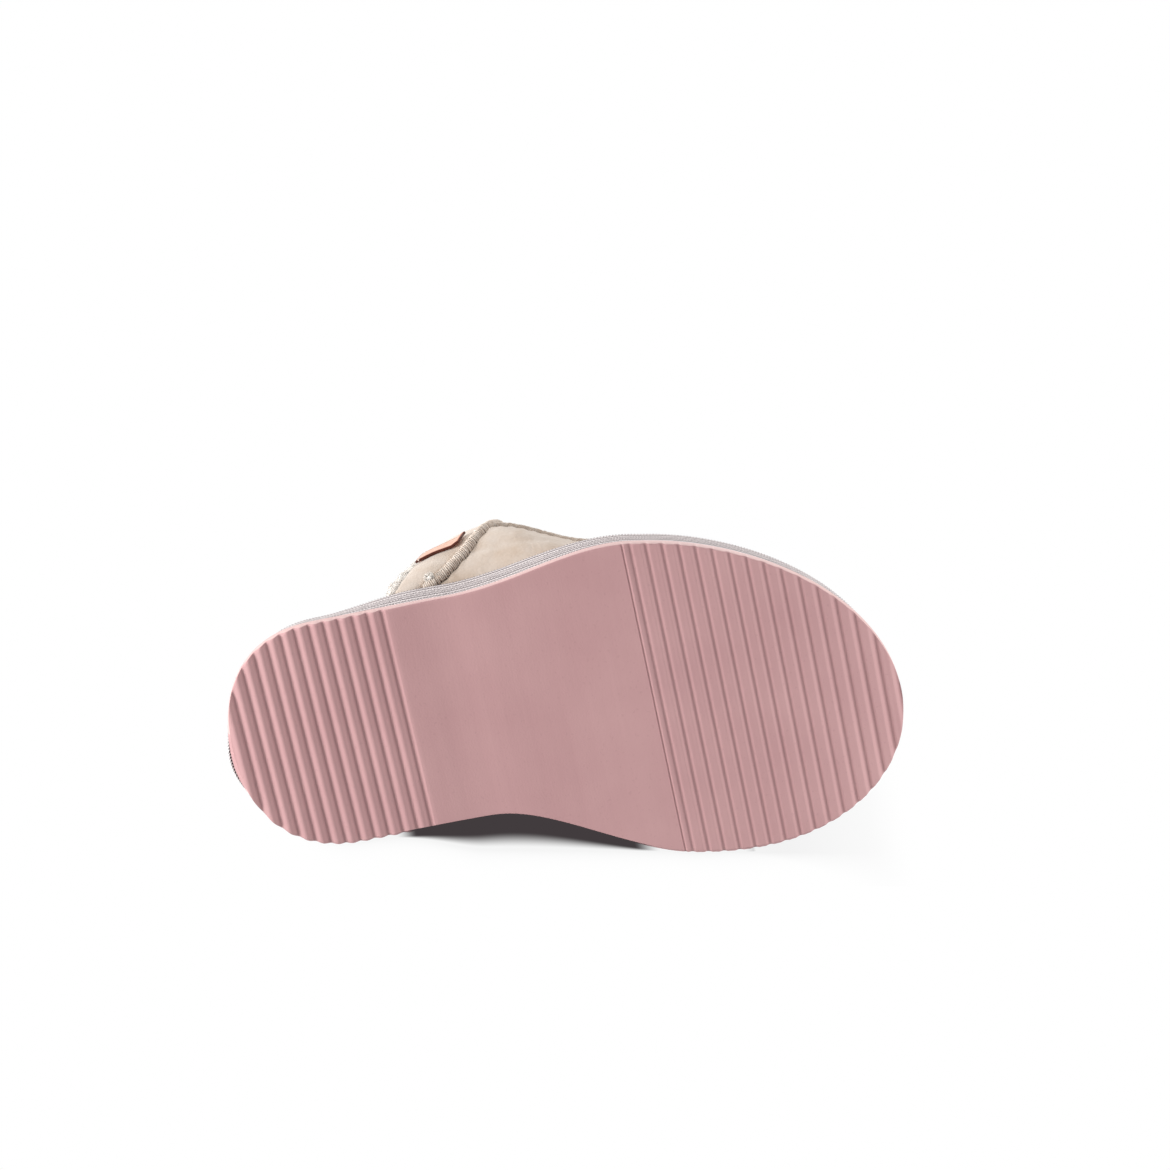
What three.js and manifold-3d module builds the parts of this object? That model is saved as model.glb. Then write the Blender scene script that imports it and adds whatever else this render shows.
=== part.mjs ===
// Fluffy house slipper for the right foot, open at the heel, on a ribbed foam sole.
// Millimetres, +Z up, toe towards -Y, outer side of the foot towards -X.
// Most shapes are laid out by `along`, the distance from the back of the heel towards the toe.

import * as THREE from "three";
import { ParametricGeometry } from "three/addons/geometries/ParametricGeometry.js";
import { mergeVertices } from "three/addons/utils/BufferGeometryUtils.js";
import Module from "manifold-3d";

const wasm = await Module();
wasm.setup();
const { clamp, lerp, smoothstep } = THREE.MathUtils;

// Plan of the sole
const LENGTH = 160;
const HEEL_HALF = 28.7;
const HEEL_ROUND = 26;
const HEEL_POWER = 2.3;
const BALL_HALF = 40.7;
const BALL_AT = 107;
const FLARE_FROM = 57;
const FLARE_TO = 104;
const BEND_AT = 63;
const BEND_SOFT = 8;
const BEND_SLOPE = 0.2;

// Toe spring: the sole curls up from here to the tip
const SPRING_FROM = 122;
const SPRING_RISE = 3.5;

// Ribbed outsole
const SHEET_TOP = 2.6;
// Each run of ribs starts and ends with a groove
const HEEL_RIBS = { from: -0.2, pitch: 3.52, count: 12, depth: 1.3, groove: 0.4, land: 0.62 };
const BALL_RIBS = { from: 102.65, pitch: 3.775, count: 15, depth: 0.8, groove: 0.3, land: 2.3 };
const SHANK = { from: 43.4, to: 100.9, floor: 0.25, arch: 0.5, shares: [0.2, 0.4, 0.6, 0.8] };
const FIRST_LAND = { from: 101.3, to: 102.06 };
const OUTLINE_CORNERS = 88;
const SPRING_STEP = 3;
const PAST_END = 1;
const PLAN_CUT = { from: -5, depth: 20 };
const SHEET_HALF = 60;

// Heights of the layers above the outsole
const GAP = 0.3;
const FOXING_BOTTOM = SHEET_TOP + GAP;
const FOXING_TOP = 12.9;
const FOXING_THICK = 0.9;
const UPPER_BASE = 13.1;
const BOARD_TOP = 14.2;
const FOAM_TOP = 17.2;
const SOCK_TOP = 20.2;
const MIDSOLE_DROP = 0.2;
const TAPE_CLEARANCE = 0.5;
const BOARD_LIFT = 0.1;

// Rounded edges of the cushion and its sock: how far in, and how far below the top or above the foot
const CUSHION_EDGE = { shoulder: 0.3, top: 2, drop: 1.2 };
const SOCK_EDGE = { foot: 2, low: 0.9, high: 1.2, top: 3.2, rise: 0.3, drop: 0.9 };

// How far each outline stands in from the sole's edge at the heel, the waist and the toe
const WAIST_INSET_FROM = 50;
const TOE_INSET_FROM = 74;
const FOXING_LOW_INSET = { heel: 0.7, waist: 0.6, toe: 0.7 };
const FOXING_HIGH_INSET = { heel: 2.9, waist: 0.6, toe: 1.9 };
const UPPER_INSET = { heel: 4.4, waist: 2.4, toe: 5.6 };
const SOCK_INSET = { heel: 5.2, waist: 9.2, toe: 13.6 };

// Upper, as a last-shaped surface
const INSTEP_HEIGHT = 59.5;
const TOE_HEIGHT = 40;
const INSTEP_FROM = 55;
const INSTEP_TO = 132;
const TOE_BOX_POWER = 2.6;
const BULGE = 6.2;
const BULGE_RISE = 17.5;
const BULGE_SHARE = 0.23;
const BULGE_SWELLS = [30, 70];
const BULGE_FADES = [66, 94];
const TOE_BOX_AT = 140;
const SIDE_POWER = 1.87;
const MOUTH_SIDE_POWER = 2.05;
const TOE_SIDE_POWER = 2.2;

// Mouth and seams, by distance from the heel
const MOUTH = { atSole: 43.8, atTop: 57.5, power: 3.4 };
const COLLAR_SEAM = { atSole: 51.3, atTop: 72.3, power: 6 };
const APEX = 0.7;
const ARCH_END = 104;
const ARCH_POWER = 2.6;
const END_MARGIN = 0.012;
const SEAM_RADIUS = 1.25;
const SEAM_ALLOWANCE = 2.0;
const TYPICAL_GIRTH = 55;
const SEAM_STEP = 0.01;

// Layers of the upper, as depths below its outer surface
const SUEDE = [0, 1.2];
const PADDING = [1.95, 2.8];
const PADDING_GAP = 1.2;
const PUFF = [1.75, 2.5];
const LINING = [3.8, 5.8];
const TOE_PUFF_FROM = 126;
const ROLL_RADIUS = 2.6;
const ROLL_DEPTH = 3.4;
const ROLL_BACK = 3.15;

// Leather label on the outer side of the collar
// It runs forward from the rear edge
const LABEL = { low: 0.8, high: 0.69, back: 1.2, front: 10.6, depths: [-1.4, -0.3] };

function material(colour, roughness) {
  return new THREE.MeshStandardMaterial({ color: colour, roughness, metalness: 0 });
}

const eva = material(0xc39193, 0.72);
const foam = material(0xd9c9c4, 0.9);
const woven = material(0xb6a3a4, 0.85);
const suede = material(0xdeccb9, 0.95);
const fleece = material(0xf1ebe3, 1);
const board = material(0xb59b7c, 0.9);
const stiffener = material(0xe7e2d8, 0.8);
const thread = material(0xcdb7a6, 0.8);
const leather = material(0xe9bfa5, 0.6);

// Share of the full width left at `share` of the way to a rounded end
function roundOff(share, power) {
  return Math.pow(Math.max(0, 1 - Math.pow(clamp(share, 0, 1), power)), 1 / power);
}

function insetAt(inset, along) {
  const toWaist = lerp(inset.heel, inset.waist, smoothstep(along, HEEL_ROUND, WAIST_INSET_FROM));
  return lerp(toWaist, inset.toe, smoothstep(along, TOE_INSET_FROM, BALL_AT));
}

// Half the width of an outline that stands in from the sole's edge
function halfWidth(along, inset) {
  if (along < HEEL_ROUND) {
    const share = (HEEL_ROUND - along) / (HEEL_ROUND - inset.heel);
    return (HEEL_HALF - inset.heel) * roundOff(share, HEEL_POWER);
  }
  if (along > BALL_AT) {
    const share = (along - BALL_AT) / (LENGTH - inset.toe - BALL_AT);
    return (BALL_HALF - inset.toe) * roundOff(share, 2);
  }
  const full = lerp(HEEL_HALF, BALL_HALF, smoothstep(along, FLARE_FROM, FLARE_TO));
  return full - insetAt(inset, along);
}

// The foot bends inwards in front of the arch
function centreLine(along) {
  const past = along - BEND_AT;
  return (BEND_SLOPE / 2) * (past + Math.hypot(past, BEND_SOFT));
}

function toeSpring(along) {
  const share = Math.max(0, along - SPRING_FROM) / (LENGTH - SPRING_FROM);
  return SPRING_RISE * share * share;
}

function place(x, along, z) {
  return new THREE.Vector3(x, -along, z + toeSpring(along));
}

// Even steps round the heel and the toe
function rounded(share) {
  return (1 - Math.cos(Math.PI * share)) / 2;
}

function alongInside(inset, share) {
  return lerp(inset.heel, LENGTH - inset.toe, rounded(share));
}

// Merges the seams of a closed surface, drops collapsed faces and turns it outwards
function closed(geometry) {
  geometry.deleteAttribute("normal");
  geometry.deleteAttribute("uv");
  const merged = mergeVertices(geometry, 1e-4);
  const points = merged.getAttribute("position");
  const kept = [];
  const [a, b, c] = [0, 1, 2].map(() => new THREE.Vector3());
  let volume = 0;
  for (let i = 0; i < merged.index.count; i += 3) {
    const corners = [0, 1, 2].map((k) => merged.index.getX(i + k));
    if (new Set(corners).size < 3) continue;
    [a, b, c].forEach((corner, k) => corner.fromBufferAttribute(points, corners[k]));
    volume += a.dot(b.cross(c));
    kept.push(corners);
  }
  if (volume < 0) kept.forEach((corners) => corners.reverse());
  merged.setIndex(kept.flat());
  return merged;
}

// A body from rings of points; `capped` closes its two ends on their centres
function loft(ring, steps, capped = false) {
  const rings = [];
  for (let i = 0; i <= steps; i++) rings.push(ring(i / steps));
  if (capped) {
    const middle = (points) => {
      const sum = points.reduce((total, p) => total.add(p), new THREE.Vector3());
      return points.map(() => sum.clone().divideScalar(points.length));
    };
    rings.unshift(middle(rings[0]));
    rings.push(middle(rings.at(-1)));
  }
  const count = rings[0].length;
  const rows = rings.length - 1;
  const surface = (a, b, target) => {
    const row = clamp(Math.round(b * rows), 0, rows);
    target.copy(rings[row][(Math.round(a * count) + count) % count]);
  };
  return closed(new ParametricGeometry(surface, count, rows));
}

// A flat layer of the sole between two or more outlines, listed from the bottom up
function slab(layers, across, steps) {
  const at = (layer, share, side) => {
    const along = alongInside(layer.inset, share);
    const x = centreLine(along) + halfWidth(along, layer.inset) * side;
    return place(x, along, layer.z);
  };
  const sides = Array.from({ length: across + 1 }, (_, i) => -1 + (2 * i) / across);
  return loft((share) => {
    const middle = layers.slice(1, -1);
    return [
      ...sides.map((side) => at(layers[0], share, side)),
      ...middle.map((layer) => at(layer, share, 1)),
      ...sides.toReversed().map((side) => at(layers.at(-1), share, side)),
      ...middle.toReversed().map((layer) => at(layer, share, -1)),
    ];
  }, steps);
}

// A thin panel between two depths below a surface; its four edges are bevelled to the middle
function panel(point, [outer, inner], across, steps) {
  const half = across;
  const middle = (outer + inner) / 2;
  return loft((share) => {
    const onEnd = share === 0 || share === 1;
    return Array.from({ length: 2 * half }, (_, i) => {
      const p = i <= half ? i / half : 2 - i / half;
      const onEdge = i === 0 || i === half;
      return point(p, share, onEnd || onEdge ? middle : i < half ? outer : inner);
    });
  }, steps);
}

// The upper's surface. `side` runs from -1 at the sole on the outer side, over the instep at 0, to 1.
function upper(side, along, depth) {
  const bulge = smoothstep(along, ...BULGE_SWELLS) * (1 - smoothstep(along, ...BULGE_FADES));
  const inset = {
    heel: UPPER_INSET.heel + depth,
    waist: UPPER_INSET.waist + depth,
    toe: UPPER_INSET.toe + depth,
  };
  const atBase = halfWidth(along, inset);
  const widest = atBase + BULGE * bulge;
  const widestAt = UPPER_BASE + BULGE_RISE * bulge;
  const crest = lerp(INSTEP_HEIGHT, TOE_HEIGHT, smoothstep(along, INSTEP_FROM, INSTEP_TO)) - depth;
  const toTip = (along - BALL_AT) / (LENGTH - inset.toe - BALL_AT);
  const top = UPPER_BASE + (crest - UPPER_BASE) * roundOff(toTip, TOE_BOX_POWER);
  const nearToe = smoothstep(along, BALL_AT, TOE_BOX_AT);
  const power = lerp(lerp(SIDE_POWER, TOE_SIDE_POWER, nearToe), MOUTH_SIDE_POWER, bulge);
  const lowShare = BULGE_SHARE * bulge;
  const rise = 1 - Math.abs(side);
  let x, z;
  if (rise < lowShare) {
    const left = 1 - rise / lowShare;
    x = widest - (widest - atBase) * left * left;
    z = lerp(widestAt, UPPER_BASE, left);
  } else {
    const angle = ((rise - lowShare) / (1 - lowShare)) * (Math.PI / 2);
    x = widest * Math.pow(Math.max(0, Math.cos(angle)), 2 / power);
    z = widestAt + (top - widestAt) * Math.pow(Math.sin(angle), 2 / power);
  }
  return place(centreLine(along) + Math.sign(side) * x, along, z);
}

function alongAt({ atSole, atTop, power }, side) {
  return lerp(atSole, atTop, 1 - Math.pow(Math.abs(side), power));
}

function mouth(side) {
  return alongAt(MOUTH, side);
}

// Seams are [side, along] on the outer half, and mirrored for the inner half
function mouthEdge(share) {
  const side = lerp(-1, 1, share);
  return [side, mouth(side)];
}

function collarSeam(share) {
  const side = lerp(1, -1, share);
  return [-side, alongAt(COLLAR_SEAM, side)];
}

const APEX_AT = alongAt(COLLAR_SEAM, APEX);
const APEX_SHARE = (1 - APEX) / 2;

function archSeam(share) {
  const along = lerp(APEX_AT, ARCH_END, share);
  return [-lerp(APEX, 1, Math.pow(share, ARCH_POWER)), along];
}

// A seam moved sideways by the seam allowance, towards the toe or the top where it is positive
function besideSeam(seam, share, distance) {
  const [s0, a0] = seam(Math.max(0, share - SEAM_STEP));
  const [s1, a1] = seam(Math.min(1, share + SEAM_STEP));
  const run = [(s1 - s0) * TYPICAL_GIRTH, a1 - a0];
  const long = Math.hypot(...run);
  const [side, along] = seam(share);
  return [side + (distance * run[1]) / long / TYPICAL_GIRTH, along - (distance * run[0]) / long];
}

const group = new THREE.Group();

function add(name, geometry, finish) {
  const mesh = new THREE.Mesh(geometry, finish);
  mesh.name = name;
  group.add(mesh);
}

// Outsole: the plan outline cut out of a sheet that is ribbed below the heel and the ball
function solid(geometry) {
  const merged = geometry.index ? geometry : closed(geometry);
  return new wasm.Manifold(
    new wasm.Mesh({
      numProp: 3,
      vertProperties: merged.getAttribute("position").array,
      triVerts: Uint32Array.from(merged.index.array),
    }),
  );
}

function fromSolid(made) {
  const { vertProperties, triVerts } = made.getMesh();
  const geometry = new THREE.BufferGeometry();
  geometry.setAttribute("position", new THREE.BufferAttribute(vertProperties, 3));
  geometry.setIndex(new THREE.BufferAttribute(triVerts, 1));
  return geometry;
}

function rim(turn, inset, z) {
  const share = turn < 0.5 ? 2 * turn : 2 - 2 * turn;
  const along = alongInside(inset, share);
  const side = turn < 0.5 ? -1 : 1;
  return place(centreLine(along) + side * halfWidth(along, inset), along, z);
}

function outsole() {
  const none = { heel: 0, waist: 0, toe: 0 };
  const outline = new THREE.Shape();
  for (let i = 0; i < OUTLINE_CORNERS; i++) {
    const { x, y } = rim(i / OUTLINE_CORNERS, none, 0);
    i ? outline.lineTo(x, y) : outline.moveTo(x, y);
  }
  const plan = new THREE.ExtrudeGeometry(outline, { depth: PLAN_CUT.depth, bevelEnabled: false });
  plan.translate(0, 0, PLAN_CUT.from);

  const below = [];
  const ribs = ({ from, pitch, count, depth, groove, land }) => {
    const slope = (pitch - groove - land) / 2;
    for (let i = 0; i < count; i++) {
      const start = from + i * pitch;
      below.push([start, depth], [start + groove, depth]);
      below.push([start + groove + slope, 0], [start + groove + slope + land, 0]);
    }
    return from + pitch * count;
  };
  const lastHeelGroove = ribs(HEEL_RIBS);
  below.push([lastHeelGroove, HEEL_RIBS.depth], [lastHeelGroove + HEEL_RIBS.groove, HEEL_RIBS.depth]);
  below.push([SHANK.from, SHANK.floor]);
  for (const share of SHANK.shares) {
    const arched = SHANK.floor + SHANK.arch * Math.sin(Math.PI * share);
    below.push([lerp(SHANK.from, SHANK.to, share), arched]);
  }
  below.push([SHANK.to, SHANK.floor], [FIRST_LAND.from, 0], [FIRST_LAND.to, 0]);
  const lastBallGroove = ribs(BALL_RIBS);
  below.push([lastBallGroove, BALL_RIBS.depth], [LENGTH + PAST_END, BALL_RIBS.depth]);
  below[0][0] = -PAST_END;

  const profile = new THREE.Shape();
  below.forEach(([along, z], i) => {
    const lifted = z + toeSpring(along);
    i ? profile.lineTo(along, lifted) : profile.moveTo(along, lifted);
  });
  for (let along = LENGTH + PAST_END; along > SPRING_FROM; along -= SPRING_STEP) {
    profile.lineTo(along, SHEET_TOP + toeSpring(along));
  }
  profile.lineTo(SPRING_FROM, SHEET_TOP);
  profile.lineTo(-PAST_END, SHEET_TOP);
  const sheet = new THREE.ExtrudeGeometry(profile, { depth: 2 * SHEET_HALF, bevelEnabled: false });
  const turned = new THREE.Matrix4().makeBasis(
    new THREE.Vector3(0, -1, 0),
    new THREE.Vector3(0, 0, 1),
    new THREE.Vector3(-1, 0, 0),
  );
  sheet.applyMatrix4(turned);
  sheet.translate(SHEET_HALF, 0, 0);
  return fromSolid(solid(plan).intersect(solid(sheet)));
}

add("outsole", outsole(), eva);

// Foam platform with the woven tape round its edge; the tape's ends meet at the inner waist
const thicker = (inset, by) => ({ heel: inset.heel + by, waist: inset.waist + by, toe: inset.toe + by });
const behindTape = FOXING_THICK + TAPE_CLEARANCE;
add(
  "midsole",
  slab(
    [
      { inset: thicker(FOXING_LOW_INSET, behindTape), z: FOXING_BOTTOM },
      { inset: thicker(FOXING_HIGH_INSET, behindTape), z: FOXING_TOP - MIDSOLE_DROP },
    ],
    4,
    36,
  ),
  foam,
);

const TAPE_JOIN = 0.78;
const TAPE_JOIN_GAP = 0.0012;
const foxingRing = (share) => {
  const turn = (TAPE_JOIN + TAPE_JOIN_GAP + share * (1 - 2 * TAPE_JOIN_GAP)) % 1;
  return [
    rim(turn, FOXING_LOW_INSET, FOXING_BOTTOM),
    rim(turn, FOXING_HIGH_INSET, FOXING_TOP),
    rim(turn, thicker(FOXING_HIGH_INSET, FOXING_THICK), FOXING_TOP),
    rim(turn, thicker(FOXING_LOW_INSET, FOXING_THICK), FOXING_BOTTOM),
  ];
};
add("foxing_tape", loft(foxingRing, 72, true), woven);

// Insole board, cushion and the fleece sock over it
add(
  "insole_board",
  slab(
    [
      { inset: SOCK_INSET, z: FOXING_TOP + BOARD_LIFT },
      { inset: SOCK_INSET, z: BOARD_TOP },
    ],
    4,
    24,
  ),
  board,
);
add(
  "footbed_foam",
  slab(
    [
      { inset: SOCK_INSET, z: BOARD_TOP + GAP },
      { inset: thicker(SOCK_INSET, CUSHION_EDGE.shoulder), z: FOAM_TOP - CUSHION_EDGE.drop },
      { inset: thicker(SOCK_INSET, CUSHION_EDGE.top), z: FOAM_TOP },
    ],
    4,
    24,
  ),
  foam,
);
add(
  "footbed_sock",
  slab(
    [
      { inset: thicker(SOCK_INSET, SOCK_EDGE.foot), z: FOAM_TOP + GAP },
      { inset: thicker(SOCK_INSET, SOCK_EDGE.low), z: FOAM_TOP + GAP + SOCK_EDGE.rise },
      { inset: thicker(SOCK_INSET, SOCK_EDGE.high), z: SOCK_TOP - SOCK_EDGE.drop },
      { inset: thicker(SOCK_INSET, SOCK_EDGE.top), z: SOCK_TOP },
    ],
    6,
    26,
  ),
  fleece,
);

// Suede panels of the upper
const tipOf = (depth) => LENGTH - UPPER_INSET.toe - depth;

// Points run from the rear edge to the tip, closer together near the tip
function towardsTip(side, sideAtTip, along, depth, share) {
  const eased = Math.sin((share * Math.PI) / 2);
  return upper(lerp(side, sideAtTip, share), lerp(along, tipOf(depth), eased), depth);
}

// The part of the vamp's rear edge, at each end, that follows the arch seam
const ARCH_PART = 0.25;
const ARCH_START = 0.05;
function vampEdge(across) {
  const half = across < 0.5 ? across : 1 - across;
  const sign = across < 0.5 ? 1 : -1;
  const rearShare = lerp(APEX_SHARE + END_MARGIN, 0.5, (half - ARCH_PART) / (0.5 - ARCH_PART));
  const [side, along] =
    half < ARCH_PART
      ? besideSeam(archSeam, lerp(1, ARCH_START, half / ARCH_PART), SEAM_ALLOWANCE)
      : besideSeam(collarSeam, rearShare, -SEAM_ALLOWANCE);
  return [sign * clamp(side, -1, 0), along];
}

add(
  "vamp",
  panel(
    (across, share, depth) => {
      const [side, along] = vampEdge(across);
      return towardsTip(side, 2 * across - 1, along, depth, share);
    },
    SUEDE,
    26,
    16,
  ),
  suede,
);

// The side panel lies between the collar seam and the arch seam, which meet at its corner
const CORNER = 0.4;
const ARCH_SPAN = [0.07, 0.985];
function sidePanel(sign) {
  const edge = (share) => {
    return share < CORNER
      ? besideSeam(collarSeam, lerp(END_MARGIN, APEX_SHARE - END_MARGIN, share / CORNER), -SEAM_ALLOWANCE)
      : besideSeam(archSeam, lerp(...ARCH_SPAN, (share - CORNER) / (1 - CORNER)), -SEAM_ALLOWANCE);
  };
  const [first, last] = [edge(0)[1], edge(1)[1]];
  return panel(
    (rise, share, depth) => {
      const [side, along] = edge(share);
      const low = lerp(first, last, share);
      return upper(-sign * lerp(-1, Math.max(side, -1), rise), lerp(low, along, rise), depth);
    },
    SUEDE,
    6,
    18,
  );
}
add("outer_side_panel", sidePanel(-1), suede);
add("inner_side_panel", sidePanel(1), suede);

add(
  "collar_band",
  panel(
    (across, share, depth) => {
      const rear = 2 * across - 1;
      const [front, along] = besideSeam(collarSeam, across, SEAM_ALLOWANCE);
      return upper(lerp(rear, clamp(front, -1, 1), share), lerp(mouth(rear), along, share), depth);
    },
    SUEDE,
    26,
    3,
  ),
  suede,
);

// Padding, toe stiffener and fleece lining inside the upper
add(
  "collar_foam",
  panel(
    (across, share, depth) => {
      const side = 1 - 2 * across;
      return upper(-side, lerp(mouth(side) + PADDING_GAP, alongAt(COLLAR_SEAM, side) - PADDING_GAP, share), depth);
    },
    PADDING,
    26,
    3,
  ),
  foam,
);
add(
  "vamp_padding",
  panel(
    (across, share, depth) => {
      const side = 1 - 2 * across;
      return upper(-side, lerp(alongAt(COLLAR_SEAM, side) + PADDING_GAP, TOE_PUFF_FROM - PADDING_GAP, share), depth);
    },
    PADDING,
    26,
    8,
  ),
  foam,
);
add(
  "toe_puff",
  panel(
    (across, share, depth) => towardsTip(2 * across - 1, 2 * across - 1, TOE_PUFF_FROM, depth, share),
    PUFF,
    22,
    7,
  ),
  stiffener,
);
add(
  "fleece_lining",
  panel(
    (across, share, depth) => {
      const side = 2 * across - 1;
      return towardsTip(side, side, mouth(side), depth, share);
    },
    LINING,
    26,
    15,
  ),
  fleece,
);

// Round cords that follow a route on the upper
function cord(route, radius, steps, sides) {
  const section = new THREE.Shape().absarc(0, 0, radius, 0, 2 * Math.PI);
  const path = new THREE.CatmullRomCurve3(route, false, "centripetal");
  const made = new THREE.ExtrudeGeometry(section, {
    steps,
    curveSegments: sides / 2,
    bevelEnabled: false,
    extrudePath: path,
  });
  return closed(made);
}

function route(count, at) {
  return Array.from({ length: count + 1 }, (_, i) => at(i / count));
}

const ROLL_SPAN = [0.025, 0.975];
add(
  "collar_roll",
  cord(
    route(24, (share) => upper(...besideSeam(mouthEdge, lerp(...ROLL_SPAN, share), ROLL_BACK), ROLL_DEPTH)),
    ROLL_RADIUS,
    32,
    8,
  ),
  fleece,
);

const SEAM_DEPTH = 0.1;
const COLLAR_SEAM_SPAN = [0.02, 0.98];
const VAMP_SEAM_SPAN = [0.12, 0.965];
const VAMP_SEAM_RADIUS = 1.12;
add(
  "collar_seam",
  cord(
    route(30, (share) => upper(...collarSeam(lerp(...COLLAR_SEAM_SPAN, share)), SEAM_DEPTH)),
    SEAM_RADIUS,
    34,
    6,
  ),
  thread,
);

function vampSeam(sign) {
  return cord(
    route(14, (share) => {
      const [side, along] = archSeam(lerp(...VAMP_SEAM_SPAN, share));
      return upper(-sign * side, along, SEAM_DEPTH);
    }),
    VAMP_SEAM_RADIUS,
    18,
    6,
  );
}
add("outer_vamp_seam", vampSeam(-1), thread);
add("inner_vamp_seam", vampSeam(1), thread);

// Label, with a line of stitching across its rear end
const LABEL_STITCH = { at: 0.1, span: [0.06, 0.94], lift: 0.6, radius: 0.28 };
const labelAt = (share, across, depth) => {
  const side = -lerp(LABEL.low, LABEL.high, across);
  return upper(side, mouth(side) + lerp(LABEL.back, LABEL.front, share), depth);
};
add(
  "leather_label",
  panel((across, share, depth) => labelAt(share, across, depth), LABEL.depths, 4, 8),
  leather,
);
add(
  "label_stitch",
  cord(
    route(12, (share) => labelAt(LABEL_STITCH.at, lerp(...LABEL_STITCH.span, share), LABEL.depths[0] - LABEL_STITCH.lift)),
    LABEL_STITCH.radius,
    12,
    4,
  ),
  thread,
);

// Origin under the middle of the slipper, on the surface that it stands on
const box = new THREE.Box3().setFromObject(group);
const middle = box.getCenter(new THREE.Vector3());
group.position.set(-middle.x, -middle.y, -box.min.z);

export default group;
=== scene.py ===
import math

import bpy
import numpy as np
from mathutils import Matrix, Vector


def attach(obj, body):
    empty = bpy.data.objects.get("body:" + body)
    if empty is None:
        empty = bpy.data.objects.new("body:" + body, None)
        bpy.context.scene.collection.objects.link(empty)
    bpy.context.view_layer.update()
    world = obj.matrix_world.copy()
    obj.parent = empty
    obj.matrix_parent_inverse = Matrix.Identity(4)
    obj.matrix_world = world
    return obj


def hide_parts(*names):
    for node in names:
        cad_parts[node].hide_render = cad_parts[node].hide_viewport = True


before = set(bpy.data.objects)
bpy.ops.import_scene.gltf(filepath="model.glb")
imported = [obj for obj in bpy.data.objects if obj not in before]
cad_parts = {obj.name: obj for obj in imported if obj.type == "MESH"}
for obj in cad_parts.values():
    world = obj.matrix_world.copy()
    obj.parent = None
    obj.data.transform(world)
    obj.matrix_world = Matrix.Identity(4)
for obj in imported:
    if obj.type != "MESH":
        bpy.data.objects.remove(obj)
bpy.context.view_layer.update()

scene = bpy.context.scene
print("frame loaded:", len(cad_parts), "nodes")


# Camera: below the sole, on the outer side of the foot
cameraPlace = {
    "lens": 110.77,
    "at": (-0.32813, -0.03975, -0.7973),
    "right": (0.19765, -0.97955, -0.03759),
    "up": (-0.91698, -0.19831, 0.34616),
}


def addObject(name, data):
    made = bpy.data.objects.new(name, data)
    scene.collection.objects.link(made)
    return made


def makeCamera(place):
    data = bpy.data.cameras.new("sideCamera")
    data.lens = place["lens"]
    data.clip_start, data.clip_end = 0.05, 20
    camera = addObject("sideCamera", data)
    right, up = Vector(place["right"]).normalized(), Vector(place["up"]).normalized()
    turn = Matrix((right, up, right.cross(up))).transposed().to_4x4()
    camera.matrix_world = Matrix.Translation(place["at"]) @ turn
    scene.camera = camera


makeCamera(cameraPlace)
print("camera made")


# The slipper's form in millimetres. `along` runs from the back of the heel to the toe.
form = {
    "middle": (-8.575, 80.0),
    "length": 160.0,
    "heelHalf": 28.7, "heelRound": 26.0, "heelPower": 2.3,
    "ballHalf": 40.7, "ballAt": 107.0, "flare": (57.0, 104.0),
    "bendAt": 63.0, "bendSoft": 8.0, "bendSlope": 0.2,
    "springFrom": 122.0, "springRise": 3.5,
    "noInset": (0.0, 0.0, 0.0),
    "tapeLow": (0.7, 0.6, 0.7), "tapeHigh": (2.9, 0.6, 1.9),
    "upperInset": (4.4, 2.4, 5.6),
    "upperBase": 13.1,
    "instep": 59.5, "toeHeight": 40.0, "instepRun": (55.0, 132.0), "toeBox": 2.6,
    "bulge": 6.2, "bulgeRise": 17.5, "bulgeShare": 0.23,
    "sidePower": 1.87, "mouthPower": 2.05, "toePower": 2.2,
    "mouth": (43.8, 57.5, 3.4), "collarSeam": (51.3, 72.3, 6.0),
    "apex": 0.7, "archEnd": 104.0, "archCurve": 2.6,
    "girth": 55.0,
}


def mix(a, b, share):
    return a + (b - a) * share


def ease(value, low, high):
    share = np.clip((value - low) / (high - low), 0, 1)
    return share * share * (3 - 2 * share)


def roundOff(share, power):
    return np.maximum(0, 1 - np.clip(share, 0, 1) ** power) ** (1 / power)


# How far a rounded edge has dropped, `distance` in from it
def roundedEdge(distance, run, depth):
    share = np.clip(1 - distance / run, 0, 1)
    return depth * (1 - np.sqrt(np.maximum(0, 1 - share * share)))


def halfWidth(along, inset):
    heel, waist, toe = inset
    full = mix(form["heelHalf"], form["ballHalf"], ease(along, *form["flare"]))
    stood = mix(mix(heel, waist, ease(along, 26, 50)), toe, ease(along, 74, form["ballAt"]))
    heelShare = (form["heelRound"] - along) / (form["heelRound"] - heel)
    atHeel = (form["heelHalf"] - heel) * roundOff(heelShare, form["heelPower"])
    toeShare = (along - form["ballAt"]) / (form["length"] - toe - form["ballAt"])
    atToe = (form["ballHalf"] - toe) * roundOff(toeShare, 2)
    width = np.where(along < form["heelRound"], atHeel, full - stood)
    return np.where(along > form["ballAt"], atToe, width)


def centreLine(along):
    past = along - form["bendAt"]
    return form["bendSlope"] / 2 * (past + np.hypot(past, form["bendSoft"]))


def toeSpring(along):
    share = np.maximum(0, along - form["springFrom"]) / (form["length"] - form["springFrom"])
    return form["springRise"] * share * share


def place(x, along, z):
    x, along, z = np.broadcast_arrays(x + form["middle"][0], along, z)
    return np.stack([x, form["middle"][1] - along, z + toeSpring(along)], -1) / 1000


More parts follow.
